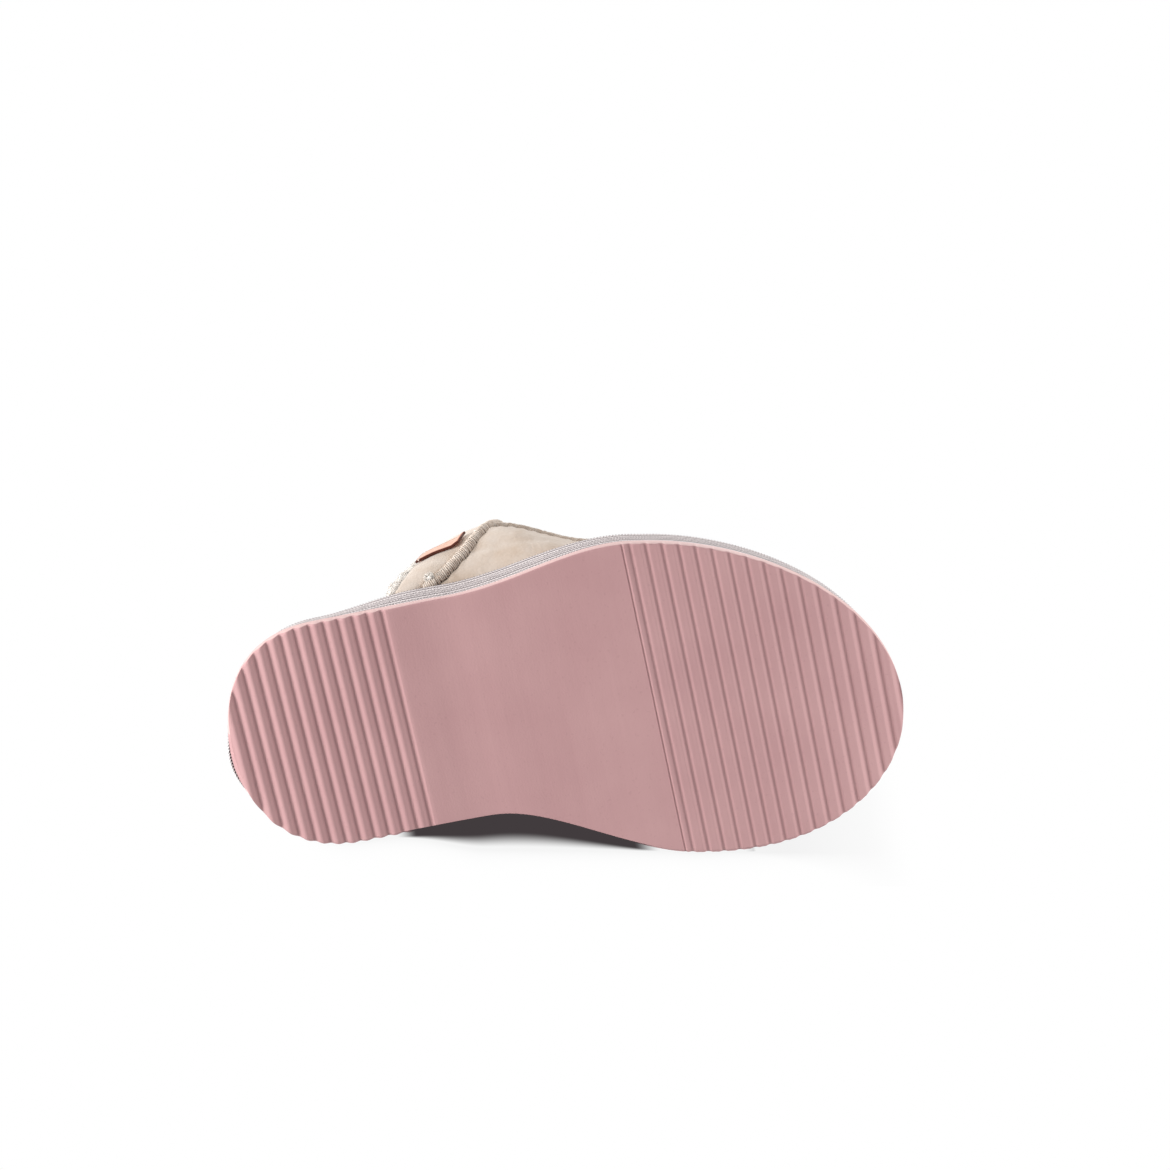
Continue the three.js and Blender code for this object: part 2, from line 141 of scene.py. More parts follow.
def upperPoint(side, along, depth):
    bulge = ease(along, 30, 70) * (1 - ease(along, 66, 94))
    inset = tuple(part + depth for part in form["upperInset"])
    atBase = halfWidth(along, inset)
    widest = atBase + form["bulge"] * bulge
    widestAt = form["upperBase"] + form["bulgeRise"] * bulge
    crest = mix(form["instep"], form["toeHeight"], ease(along, *form["instepRun"])) - depth
    toTip = (along - form["ballAt"]) / (form["length"] - inset[2] - form["ballAt"])
    top = form["upperBase"] + (crest - form["upperBase"]) * roundOff(toTip, form["toeBox"])
    nearToe = ease(along, form["ballAt"], 140)
    power = mix(mix(form["sidePower"], form["toePower"], nearToe), form["mouthPower"], bulge)
    lowShare = form["bulgeShare"] * bulge
    rise = 1 - np.abs(side)
    left = 1 - rise / np.maximum(lowShare, 1e-9)
    angle = np.clip((rise - lowShare) / (1 - lowShare), 0, 1) * math.pi / 2
    low = rise < lowShare
    outwards = np.where(low, widest - (widest - atBase) * left * left,
                        widest * np.maximum(0, np.cos(angle)) ** (2 / power))
    z = np.where(low, mix(widestAt, form["upperBase"], left),
                 widestAt + (top - widestAt) * np.sin(angle) ** (2 / power))
    return place(centreLine(along) + np.sign(side) * outwards, along, z)


def alongAt(edge, side):
    atSole, atTop, power = form[edge]
    return mix(atSole, atTop, 1 - np.abs(side) ** power)


def mouthAlong(side):
    return alongAt("mouth", side)


def mouthEdge(share):
    side = mix(-1, 1, share)
    return side, mouthAlong(side)


def collarSeam(share):
    side = mix(-1, 1, share)
    return side, alongAt("collarSeam", side)


def archSeam(share):
    start = alongAt("collarSeam", form["apex"])
    return -mix(form["apex"], 1, share ** form["archCurve"]), mix(start, form["archEnd"], share)


def besideSeam(seam, share, distance):
    s0, a0 = seam(np.maximum(0, share - 0.01))
    s1, a1 = seam(np.minimum(1, share + 0.01))
    acrossRun, alongRun = (s1 - s0) * form["girth"], a1 - a0
    long = np.hypot(acrossRun, alongRun)
    side, along = seam(share)
    return side + distance * alongRun / long / form["girth"], along - distance * acrossRun / long


# Modelling helpers
def deselect():
    bpy.ops.object.select_all(action="DESELECT")


def pick(piece):
    deselect()
    piece.select_set(True)
    bpy.context.view_layer.objects.active = piece


def editAll(piece):
    pick(piece)
    bpy.ops.object.mode_set(mode="EDIT")
    bpy.ops.mesh.select_all(action="SELECT")


def endEdit():
    bpy.ops.object.mode_set(mode="OBJECT")


def smoothUnder(degrees):
    bpy.ops.object.shade_smooth_by_angle(angle=math.radians(degrees))


def applyAll(piece):
    pick(piece)
    for modifier in list(piece.modifiers):
        bpy.ops.object.modifier_apply(modifier=modifier.name)


def points(piece):
    flat = np.empty(len(piece.data.vertices) * 3)
    piece.data.vertices.foreach_get("co", flat)
    return flat.reshape(-1, 3)


def setPoints(piece, moved):
    piece.data.vertices.foreach_set("co", np.ascontiguousarray(moved, dtype=np.float32).ravel())
    piece.data.update()


def tidyMesh(piece, merge=1e-6, outwards=True):
    editAll(piece)
    bpy.ops.mesh.remove_doubles(threshold=merge)
    bpy.ops.mesh.dissolve_degenerate(threshold=1e-7)
    if outwards:
        bpy.ops.mesh.normals_make_consistent(inside=False)
    endEdit()
    bpy.ops.object.shade_smooth()


# A flat grid, laid onto the surface point(u, v) with u and v from 0 to 1
def layGrid(name, point, columns, rows):
    deselect()
    bpy.ops.mesh.primitive_grid_add(x_subdivisions=columns, y_subdivisions=rows, size=1, calc_uvs=True)
    piece = bpy.context.object
    piece.name = piece.data.name = name
    flat = points(piece)
    setPoints(piece, point(flat[:, 0] + 0.5, flat[:, 1] + 0.5))
    return piece


def faceOut(piece, awayFrom):
    mesh = piece.data
    centres = np.array([face.center for face in mesh.polygons])
    normals = np.array([face.normal for face in mesh.polygons])
    if ((centres - np.array(awayFrom)) * normals).sum() < 0:
        editAll(piece)
        bpy.ops.mesh.flip_normals()
        endEdit()


def thicken(piece, thickness, offset=-1):
    solid = piece.modifiers.new("thickness", "SOLIDIFY")
    solid.thickness, solid.offset, solid.use_even_offset = thickness, offset, False


def ripple(piece, size, height):
    cloud = bpy.data.textures.new(piece.name + "Ripple", "CLOUDS")
    cloud.noise_scale = size
    wave = piece.modifiers.new("ripple", "DISPLACE")
    wave.texture, wave.strength, wave.mid_level = cloud, height, 0.5


def standFor(piece, slot, *nodes):
    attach(piece, "root")
    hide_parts(*nodes)


def nodeCopy(node, name):
    piece = addObject(name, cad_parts[node].data.copy())
    piece.data.name = name
    piece.data.materials.clear()
    tidyMesh(piece, merge=1e-5, outwards=False)
    return piece


# Material helpers
def tint(red, green, blue):
    def linear(value):
        value /= 255
        return value / 12.92 if value <= 0.04045 else ((value + 0.055) / 1.055) ** 2.4
    return linear(red), linear(green), linear(blue), 1


class Finish:
    def __init__(self, name, roughness, sheen=0, sheenRoughness=0.5, specular=0.5):
        self.material = bpy.data.materials.new(name)
        self.material.use_nodes = True
        self.tree = self.material.node_tree
        self.shader = self.tree.nodes["Principled BSDF"]
        self.shader.inputs["Roughness"].default_value = roughness
        self.shader.inputs["Sheen Weight"].default_value = sheen
        self.shader.inputs["Sheen Roughness"].default_value = sheenRoughness
        self.shader.inputs["Specular IOR Level"].default_value = specular
        coordinates = self.node("ShaderNodeTexCoord")
        self.place, self.uv = coordinates.outputs["Object"], coordinates.outputs["UV"]
        self.height = None

    def node(self, kind, **settings):
        made = self.tree.nodes.new(kind)
        for key, value in settings.items():
            setattr(made, key, value)
        return made

    def link(self, output, target):
        self.tree.links.new(output, target)

    def feed(self, socket, value):
        if isinstance(value, bpy.types.NodeSocket):
            self.link(value, socket)
        else:
            socket.default_value = value

    def maths(self, operation, a, b=0.0, c=0.0):
        made = self.node("ShaderNodeMath", operation=operation)
        for socket, value in zip(made.inputs, (a, b, c)):
            self.feed(socket, value)
        return made.outputs[0]

    def noise(self, scale, detail=2, stretch=(1, 1, 1), vector=None):
        mapped = self.node("ShaderNodeMapping")
        self.link(vector or self.place, mapped.inputs["Vector"])
        mapped.inputs["Scale"].default_value = stretch
        made = self.node("ShaderNodeTexNoise")
        self.link(mapped.outputs[0], made.inputs["Vector"])
        made.inputs["Scale"].default_value = scale
        made.inputs["Detail"].default_value = detail
        return made.outputs["Fac"]

    def ramp(self, value, stops):
        made = self.node("ShaderNodeValToRGB")
        band = made.color_ramp
        while len(band.elements) < len(stops):
            band.elements.new(0.5)
        for element, (position, colour) in zip(band.elements, stops):
            element.position, element.color = position, colour
        self.link(value, made.inputs[0])
        return made.outputs["Color"]

    def blend(self, share, first, second, kind="MIX"):
        made = self.node("ShaderNodeMix", data_type="RGBA", blend_type=kind)
        self.feed(made.inputs["Factor"], share)
        self.feed(made.inputs[6], first)
        self.feed(made.inputs[7], second)
        return made.outputs[2]

    def colour(self, value):
        self.feed(self.shader.inputs["Base Color"], value)

    def bump(self, value, depth, strength=1.0):
        made = self.node("ShaderNodeBump")
        made.inputs["Distance"].default_value = depth
        made.inputs["Strength"].default_value = strength
        self.link(value, made.inputs["Height"])
        if self.height:
            self.link(self.height, made.inputs["Normal"])
        self.height = made.outputs[0]
        self.link(self.height, self.shader.inputs["Normal"])

    def surface(self, share, first, second):
        chosen = self.node("ShaderNodeMixShader")
        for socket, output in zip(chosen.inputs, (share, first, second)):
            self.link(output, socket)
        self.link(chosen.outputs[0], self.tree.nodes["Material Output"].inputs["Surface"])

    def on(self, *pieces):
        for piece in pieces:
            piece.data.materials.clear()
            piece.data.materials.append(self.material)


# Outsole: a foam sheet with scalloped ribs under the heel and flat ribs under the ball
outsoleShape = {
    "sheetTop": 2.6, "rise": 0.003,
    "heelTo": 43.35, "heelPitch": 3.52, "heelFrom": -0.04, "heelDepth": 0.84, "scallop": 1.6,
    "ballFrom": 102.7, "ballPitch": 3.775, "ballCount": 16, "ballDepth": 0.54,
    "slope": 0.3, "groove": 0.05, "shoulder": 0.08, "shoulderRun": (0.2, 0.5),
    "firstGroove": (101.15, 0.4), "firstSlope": (0.08, 0.55),
    "shankStep": 0.7, "shankFloor": 0.12, "arch": 0.45, "valley": (55.5, 12.0, 0.5),
    "edge": (0.1, 0.3, 0.8), "edgeLift": (0.22, 0.07, 0.01), "edgeShare": (0.93, 0.9),
    "columns": 26, "flare": 1.1, "wallSlope": 0.35, "wallNear": 0.0004, "keepAngle": 38,
}

# Rows of the sole's grid: shares of a rib, or millimetres past an edge
treadSteps = {
    "heel": (0, .05, .1, .15, .2, .28, .36, .44, .5, .56, .64, .72, .8, .85, .9, .95),
    "ball": (0, .025, .05, .09, .13, .17, .21, .25, .3, .4, .5, .6, .7, .75, .79, .83, .87, .91, .96),
    "pastHeel": (0, 0.15, 0.3, 0.45, 0.6, 0.7, 1.0),
    "shank": (2, -0.8, 44),
    "firstGroove": (-0.6, -0.4, -0.25, -0.08, 0, 0.08, 0.25, 0.4, 0.6),
    "ends": ((-1, 16), (1, 20)), "endTurn": 0.35,
}


def treadHeight(along, shape=outsoleShape):
    def scallops(spot):
        turn = (spot - shape["heelFrom"]) / shape["heelPitch"]
        return shape["heelDepth"] * (1 - np.abs(np.sin(math.pi * turn)) ** shape["scallop"])

    run = shape["ballFrom"] - shape["heelTo"]
    share = np.clip((along - shape["heelTo"]) / run, 0, 1)
    shank = shape["shankFloor"] + shape["arch"] * np.sin(math.pi * share)
    valleyAt, reach, deep = shape["valley"]
    shank = shank + deep * np.cos(math.pi / 2 * np.clip((along - valleyAt) / reach, -1, 1)) ** 2
    step = ease(along, shape["heelTo"], shape["heelTo"] + shape["shankStep"])
    shank = mix(scallops(shape["heelTo"]), shank, step)
    turn = ((along - shape["ballFrom"]) / shape["ballPitch"]) % 1
    groove = shape["groove"] / 2
    fromGroove = np.minimum(np.abs(turn - groove), 1 - np.abs(turn - groove))
    ball = shape["ballDepth"] * (1 - ease(fromGroove, groove, groove + shape["slope"]))
    shoulder = shape["shoulder"] * np.cos(2 * math.pi * turn) ** 2
    ball = ball + shoulder * ease(fromGroove, *shape["shoulderRun"])
    height = np.where(along < shape["heelTo"], scallops(along), shank)
    grooveAt, deep = shape["firstGroove"]
    edge = deep * (1 - ease(np.abs(along - grooveAt), *shape["firstSlope"]))
    return np.where(along > grooveAt, np.maximum(ball, edge), np.maximum(height, edge))


def treadRows(shape=outsoleShape, steps=treadSteps):
    heelTo, grooveAt = shape["heelTo"], shape["firstGroove"][0]
    rows = []
    for rib in range(int((heelTo - shape["heelFrom"]) / shape["heelPitch"]) + 1):
        rows += [shape["heelFrom"] + (rib + step) * shape["heelPitch"] for step in steps["heel"]]
    rows = [row for row in rows if row < heelTo]
    rows += [heelTo + step for step in steps["pastHeel"]]
    after, before, count = steps["shank"]
    rows += list(np.linspace(heelTo + after, grooveAt + before, count))
    rows += [grooveAt + step for step in steps["firstGroove"]]
    for rib in range(shape["ballCount"]):
        rows += [shape["ballFrom"] + (rib + step) * shape["ballPitch"] for step in steps["ball"]]
    for end, count in steps["ends"]:
        turns = np.linspace(0, steps["endTurn"], count)
        rows += [form["length"] * (1 + end * math.cos(turn)) / 2 for turn in turns]
    return np.unique(np.clip(np.round(rows, 3), 0, form["length"]))


# The heel's wall leans out on the inner side, most at this angle from straight back
flareShape = {"angle": 8, "width": 24, "behind": 0.05}


def outFromHeel(spots):
    out = spots[:, :2] - np.array([form["middle"][0], form["middle"][1] - form["heelRound"]]) / 1000
    return out / np.maximum(np.linalg.norm(out, axis=1), 1e-6)[:, None]


def flare(spots, most, shape=flareShape):
    out = outFromHeel(spots)
    angle = np.degrees(np.arctan2(out[:, 0], out[:, 1]))
    lean = most / 1000 * np.exp(-((angle - shape["angle"]) / shape["width"]) ** 2)
    return lean * (spots[:, 1] > shape["behind"])


def makeOutsole(shape=outsoleShape):
    rows = treadRows()
    near, lift = np.array(shape["edge"]), np.array(shape["edgeLift"])
    count, rim = shape["columns"], len(near)
    inner = np.linspace(-1, 1, count + 1 - 2 * rim)
    insets = np.concatenate([[0], near[:-1]])
    outerShare, innerShare = shape["edgeShare"]

    def point(u, v):
        along = rows[np.round(v * (len(rows) - 1)).astype(int)]
        column = np.round(u * count).astype(int)
        half = halfWidth(along, form["noInset"])
        reach = np.maximum(half - near[-1], half * innerShare)
        fromEdge = np.minimum(column, count - column)
        step = np.minimum(fromEdge, rim - 1)
        outer = fromEdge < rim
        side = np.where(column < count / 2, -1, 1)
        middle = np.interp(column, np.arange(rim, count - rim + 1), inner)
        x = np.where(outer, side * np.maximum(half - insets[step], half * outerShare), middle * reach)
        raised = np.where(outer, lift[step], 0)
        return place(centreLine(along) + x, along, treadHeight(along) + raised)

    sole = layGrid("outsole_tread", point, count, len(rows) - 1)
    editAll(sole)
    bpy.ops.mesh.extrude_region_move(TRANSFORM_OT_translate={"value": (0, 0, shape["rise"])})
    endEdit()
    moved = points(sole)
    top = np.array([vertex.select for vertex in sole.data.vertices])
    along = form["middle"][1] - moved[:, 1] * 1000
    moved[top, 2] = (shape["sheetTop"] + toeSpring(along[top])) / 1000
    moved[top, :2] += flare(moved[top], shape["flare"])[:, None] * outFromHeel(moved[top])
    setPoints(sole, moved)
    tidyMesh(sole)
    # Faces of the sole's side wall, which the foam finish paints lighter as a painted highlight
    wall = np.zeros(len(sole.data.loops))
    for face in sole.data.polygons:
        if abs(face.normal.z) < shape["wallSlope"]:
            spot = face.center
            spotAlong = form["middle"][1] - spot.y * 1000
            line = (centreLine(spotAlong) + form["middle"][0]) / 1000
            if abs(spot.x - line) > halfWidth(spotAlong, form["noInset"]) / 1000 - shape["wallNear"]:
                wall[face.loop_start:face.loop_start + face.loop_total] = 1
    wallHighlight = sole.data.attributes.new("paintedWallHighlight", "FLOAT", "CORNER")
    wallHighlight.data.foreach_set("value", wall.astype(np.float32))
    smoothUnder(shape["keepAngle"])
    standFor(sole, "sole_foam", "outsole")
    return sole


outsole = makeOutsole()
print("outsole made:", len(outsole.data.polygons), "faces")


# Woven tape round the platform, in herringbone relief
tapeShape = {
    "low": 2.9, "high": 12.9, "thick": 0.6, "join": 0.78, "joinGap": 0.0012, "middle": (0, 0, 0.008),
    "columns": 2100, "rows": 19, "yarn": 0.76, "band": 2.3, "relief": 0.22, "sunk": 0.9,
    "edgeDrop": 0.45, "edgeRun": (0.06, 0.05), "flare": 2.7, "flareRun": (0.1, 1.0),
    "mapUnit": 10, "keepAngle": 50,
}


def rimPoint(turn, inset, z):
    share = np.where(turn < 0.5, 2 * turn, 2 - 2 * turn)
    along = mix(inset[0], form["length"] - inset[2], (1 - np.cos(math.pi * share)) / 2)
    x = centreLine(along) + np.where(turn < 0.5, -1, 1) * halfWidth(along, inset)
    return place(x, along, z)


# Turns that are evenly far apart along the rim
def evenTurns(inset, start, count):
    turns = start + np.linspace(0, 1, 6001)
    path = rimPoint(turns % 1, inset, 0.0)
    far = np.concatenate([[0], np.cumsum(np.linalg.norm(np.diff(path, axis=0), axis=1))])
    return np.interp(np.linspace(0, far[-1], count + 1), far, turns), far[-1] * 1000


def makeTape(shape=tapeShape):
    start = shape["join"] + shape["joinGap"]
    turns, run = evenTurns(form["tapeLow"], start, shape["columns"])
    turns = start + (turns - turns[0]) * (1 - 2 * shape["joinGap"])
    yarnRun, dropRun = shape["edgeRun"]

    def at(turn, height):
        low = rimPoint(turn % 1, form["tapeLow"], shape["low"])
        high = rimPoint(turn % 1, form["tapeHigh"], shape["high"])
        return mix(low, high, height[:, None])

    def point(u, v):
        turn = np.interp(u * shape["columns"], np.arange(shape["columns"] + 1), turns)
        here = at(turn, v)
        outwards = np.cross(at(turn + 1e-4, v) - here, at(turn, v + 0.01) - here)
        outwards /= np.linalg.norm(outwards, axis=1)[:, None]
        outwards *= np.sign((outwards * (here - np.array(shape["middle"]))).sum(1))[:, None]
        far, up = u * run, v * (shape["high"] - shape["low"])
        zigzag = np.abs((up / shape["band"]) % 2 - 1) * shape["band"]
        yarn = np.abs(np.sin(math.pi * (far + zigzag) / shape["yarn"]))
        rolled = np.minimum(v, 1 - v)
        height = shape["relief"] * (yarn - shape["sunk"]) * ease(rolled, 0, yarnRun)
        height = height - shape["edgeDrop"] * (1 - ease(rolled, 0, dropRun))
        moved = here + outwards * height[:, None] / 1000
        lean = flare(here, shape["flare"]) * (1 - ease(v, *shape["flareRun"]))
        moved[:, :2] += lean[:, None] * outFromHeel(here)
        return moved

    tape = layGrid("woven_tape", point, shape["columns"], shape["rows"])
    uvs = tape.data.uv_layers[0].data
    flat = np.empty(len(uvs) * 2)
    uvs.foreach_get("uv", flat)
    unit = shape["mapUnit"]
    flat = flat.reshape(-1, 2) * (run / unit, (shape["high"] - shape["low"]) / unit)
    uvs.foreach_set("uv", flat.ravel())
    faceOut(tape, shape["middle"])
    thicken(tape, shape["thick"] / 1000)
    applyAll(tape)
    smoothUnder(shape["keepAngle"])
    standFor(tape, "woven_tape", "foxing_tape")
    return tape


tape = makeTape()
print("tape made:", len(tape.data.polygons), "faces")


# Suede panels, turned down at their edges where the seams hold them
panelShape = {
    "thick": 1.0, "allowance": 1.05, "turnIn": 1.4, "turnDepth": 0.75, "keepAngle": 60,
    "pucker": (0.18, 2.1, 9.0), "puckerRun": (0.5, 7.0),
    "corner": 0.4, "backSpan": (0.006, -0.006), "frontSpan": (0.04, 0.99), "footFrom": (0.02, 9),
    "sidePucker": (0.14, 2.4), "sidePuckerRun": (0.4, 4.0), "swell": -0.55,
    "crease": (0.42, 0.885, 0.0016, 66, 0.022), "creaseRun": (58, 66, 78, 92),
    "bandTurn": 0.8, "bandSwell": -0.35,
}
upperMiddle = (-0.002, -0.02, 0.02)


def edgeDip(distance, shape=panelShape):
    return roundedEdge(distance, shape["turnIn"], shape["turnDepth"])


def makePanel(name, point, columns, rows, node, wrinkle=(0.011, 0.0005), shape=panelShape):
    piece = layGrid(name, point, columns, rows)
    tidyMesh(piece, outwards=False)
    faceOut(piece, upperMiddle)
    ripple(piece, *wrinkle)
    applyAll(piece)
    thicken(piece, shape["thick"] / 1000)
    applyAll(piece)
    smoothUnder(shape["keepAngle"])
    standFor(piece, "suede", node)
    return piece


# Across the vamp, the outer quarters follow the side seams and the middle half the collar seam
def vampPoint(u, v, shape=panelShape):
    apexShare = (1 - form["apex"]) / 2
    gap = shape["allowance"]
    half = np.where(u < 0.5, u, 1 - u)
    mirror = np.where(u < 0.5, 1, -1)
    lowSide, lowAlong = besideSeam(archSeam, mix(1, 0.03, np.clip(half / 0.25, 0, 1)), gap)
    topShare = mix(apexShare + 0.008, 0.5, np.clip((half - 0.25) / 0.25, 0, 1))
    topSide, topAlong = besideSeam(collarSeam, topShare, -gap)
    side = mirror * np.clip(np.where(half < 0.25, lowSide, topSide), -1, 0)
    along = np.where(half < 0.25, lowAlong, topAlong)
    atSide = mix(side, 2 * u - 1, v)
    atAlong = mix(along, form["length"] - form["upperInset"][2], np.sin(v * math.pi / 2))
    high, pitch, slant = shape["pucker"]
    past = atAlong - along
    pucker = high * np.sin(atAlong * pitch + slant * atSide) * (1 - ease(past, *shape["puckerRun"]))
    return upperPoint(atSide, atAlong, edgeDip(past) + pucker)


def sidePanelPoint(mirror, shape=panelShape):
    apexShare = (1 - form["apex"]) / 2
    corner, gap = shape["corner"], -shape["allowance"]
    backSpan = shape["backSpan"][0], apexShare + shape["backSpan"][1]
    frontSpan = shape["frontSpan"]
    high, pitch = shape["sidePucker"]
    deep, creaseAt, lean, leanFrom, creaseWidth = shape["crease"]
    come, full, leave, gone = shape["creaseRun"]

    def point(u, v):
        backShare = np.clip(v / corner, 0, 1)
        frontShare = np.clip((v - corner) / (1 - corner), 0, 1)
        backSide, backAlong = besideSeam(collarSeam, mix(*backSpan, backShare), gap)
        frontSide, frontAlong = besideSeam(archSeam, mix(*frontSpan, frontShare), gap)
        side = np.maximum(np.where(v < corner, backSide, frontSide), -1)
        along = np.where(v < corner, backAlong, frontAlong)
        first = besideSeam(collarSeam, np.array(backSpan[:1]), gap)[1]
        last = besideSeam(archSeam, np.array(frontSpan[1:]), gap)[1]
        foot = mix(first, last, v)
        atSide = mix(-1, side, u)
        atAlong = mix(foot, along, u)
        toSeam = (side - atSide) * form["girth"]
        footFrom, footGap = shape["footFrom"]
        fromEdge = np.minimum(toSeam, atAlong - foot + (v > footFrom) * footGap)
        crease = deep * np.exp(-((atSide + creaseAt + lean * (atAlong - leanFrom)) / creaseWidth) ** 2)
        crease *= ease(atAlong, come, full) * (1 - ease(atAlong, leave, gone))
        swell = shape["swell"] * np.sin(math.pi * np.clip(u, 0, 1)) * np.sin(math.pi * np.clip(v, 0, 1))
        pucker = high * np.sin(atAlong * pitch) * (1 - ease(toSeam, *shape["sidePuckerRun"]))
        dip = edgeDip(np.maximum(fromEdge, 0)) + crease + swell + pucker
        return upperPoint(-mirror * atSide, atAlong, dip)

    return point


def collarBandPoint(u, v, shape=panelShape):
    rear = 2 * u - 1
    front, along = besideSeam(collarSeam, u, shape["allowance"])
    atSide = mix(rear, np.clip(front, -1, 1), v)
    atAlong = mix(mouthAlong(rear), along, v)
    wide = along - mouthAlong(rear)
    dip = edgeDip((1 - v) * wide) + edgeDip(v * wide) * shape["bandTurn"]
    return upperPoint(atSide, atAlong, dip + shape["bandSwell"] * np.sin(math.pi * v))


vamp = makePanel("suede_vamp", vampPoint, 150, 90, "vamp", (0.016, 0.0008))
outerPanel = makePanel("suede_outer_side", sidePanelPoint(-1), 46, 110, "outer_side_panel")
innerPanel = makePanel("suede_inner_side", sidePanelPoint(1), 46, 110, "inner_side_panel")
collarBand = makePanel("suede_collar", collarBandPoint, 170, 22, "collar_band")
print("suede panels made")


# Overlocked seams: a soft core with thread wound round it
stitchShape = {
    "pitch": 0.52, "thread": 0.205, "slant": 24, "long": 1.3, "width": 1.6, "height": 1.25,
    "coreRadius": 1.12, "coreDots": 160, "turnWander": 0.05, "riseWander": 0.00003, "sizeWander": 0.03,
    "collarSpan": (0.006, 0.994), "vampSpan": (0.012, 0.965), "vampScale": 0.66,
}


def seamFrames(route, count):
    share = np.linspace(0, 1, 2001)
    path = route(share, 0.1)
    far = np.concatenate([[0], np.cumsum(np.linalg.norm(np.diff(path, axis=0), axis=1))])
    share = np.interp(np.linspace(0, far[-1], count), far, share)
    here = route(share, 0.1)
    run = route(np.minimum(share + 0.004, 1), 0.1) - route(np.maximum(share - 0.004, 0), 0.1)
    run /= np.linalg.norm(run, axis=1)[:, None]
    out = route(share, 0.0) - route(share, 1.0)
    out -= (out * run).sum(1)[:, None] * run
    out /= np.linalg.norm(out, axis=1)[:, None]
    return here, run, out, far[-1] * 1000


def joinTo(main, other):
    pick(main)
    other.select_set(True)
    bpy.ops.object.join()


# Copies of one modelled shape, set along frames of (place, run, out), in a single mesh
def copiesAlong(name, shape, frames, turns=None, sizes=None):
    places, runs, outs = frames
    across = np.cross(outs, runs)
    local = points(shape)
    if turns is not None:
        cos, sin = np.cos(turns)[:, None], np.sin(turns)[:, None]
        runs, across = runs * cos + across * sin, across * cos - runs * sin
    sizes = np.ones(len(places)) if sizes is None else sizes
    made = (places[:, None, :] + sizes[:, None, None] * (
        local[None, :, 0:1] * runs[:, None, :] + local[None, :, 1:2] * across[:, None, :]
        + local[None, :, 2:3] * outs[:, None, :])).reshape(-1, 3)
    corners = [list(face.vertices) for face in shape.data.polygons]
    faces = [[v + i * len(local) for v in face] for i in range(len(places)) for face in corners]
    mesh = bpy.data.meshes.new(name)
    mesh.from_pydata(made, [], faces)
    piece = addObject(name, mesh)
    pick(piece)
    bpy.ops.object.shade_smooth()
    return piece


def threadLoop(shape, scale):
    deselect()
    bpy.ops.mesh.primitive_torus_add(major_segments=14, minor_segments=5, major_radius=1,
                                     minor_radius=shape["thread"] / shape["width"],
                                     rotation=(0, math.pi / 2, 0))
    loop = bpy.context.object
    bpy.ops.object.transform_apply(location=False, rotation=True)
    editAll(loop)
    bpy.ops.transform.resize(value=(shape["long"], shape["width"], shape["height"]))
    bpy.ops.transform.rotate(value=math.radians(shape["slant"]), orient_axis="Z",
                             center_override=(0, 0, 0))
    bpy.ops.transform.resize(value=(scale / 1000,) * 3)
    endEdit()
    return loop


def makeSeam(name, route, node, scale=1.0, shape=stitchShape):
    length = seamFrames(route, 3)[3]
    count = int(length / (shape["pitch"] * scale))
    here, run, out = seamFrames(route, count)[:3]
    wander = np.random.default_rng(len(name))
    turns = wander.normal(0, shape["turnWander"], count)
    rises = wander.normal(0, shape["riseWander"], (count, 1))
    sizes = wander.normal(1, shape["sizeWander"], count)
    loop = threadLoop(shape, scale)
    seam = copiesAlong(name, loop, (here + out * rises, run, out), turns, sizes)
    bpy.data.objects.remove(loop)
    here = seamFrames(route, shape["coreDots"])[0]
    curve = bpy.data.curves.new(name + "Core", "CURVE")
    curve.dimensions, curve.bevel_resolution = "3D", 2
    curve.bevel_depth = shape["coreRadius"] * scale / 1000
    curve.use_fill_caps = True
    line = curve.splines.new("POLY")
    line.points.add(len(here) - 1)
    for dot, spot in zip(line.points, here):
        dot.co = (*spot, 1)
    core = addObject(name + "Core", curve)
    pick(core)
    bpy.ops.object.convert(target="MESH")
    bpy.ops.object.shade_smooth()
    joinTo(seam, core)
    standFor(seam, "seam_thread", node)
    return seam


def collarRoute(share, depth):
    return upperPoint(*collarSeam(mix(*stitchShape["collarSpan"], share)), depth)


def vampRoute(mirror):
    def route(share, depth):
        side, along = archSeam(mix(*stitchShape["vampSpan"], share))
        return upperPoint(-mirror * side, along, depth)
    return route


collarStitches = makeSeam("collar_overlock", collarRoute, "collar_seam")
vampScale = stitchShape["vampScale"]
outerStitches = makeSeam("outer_vamp_overlock", vampRoute(-1), "outer_vamp_seam", vampScale)
innerStitches = makeSeam("inner_vamp_overlock", vampRoute(1), "inner_vamp_seam", vampScale)
print("seams stitched")


# Leather label with a burnt edge; its front end lifts
labelShape = {
    "low": 0.835, "high": 0.765, "back": 0.8, "front": 12.1, "depth": -0.3, "thick": 0.65,
    "curl": 0.6, "lowLift": 0.15, "burnt": (5, 14), "bevel": 0.16, "keepAngle": 40,
    "stitches": 7, "stitchRadius": 0.21, "stitchLong": 0.92, "stitchBevel": 0.09,
    "stitchSpan": (0.06, 0.94), "stitchAt": 0.07,
}


def labelPoint(u, v, shape=labelShape, lift=0.0):
    side = -mix(shape["low"], shape["high"], u)
    along = mouthAlong(side) + mix(shape["back"], shape["front"], v)
    curl = shape["curl"] * ease(v, 0.8, 1.0) + shape["lowLift"] * ease(u, 1.0, 0.0) * ease(v, 0, 0.4)
    return upperPoint(side, along, shape["depth"] - curl - lift)


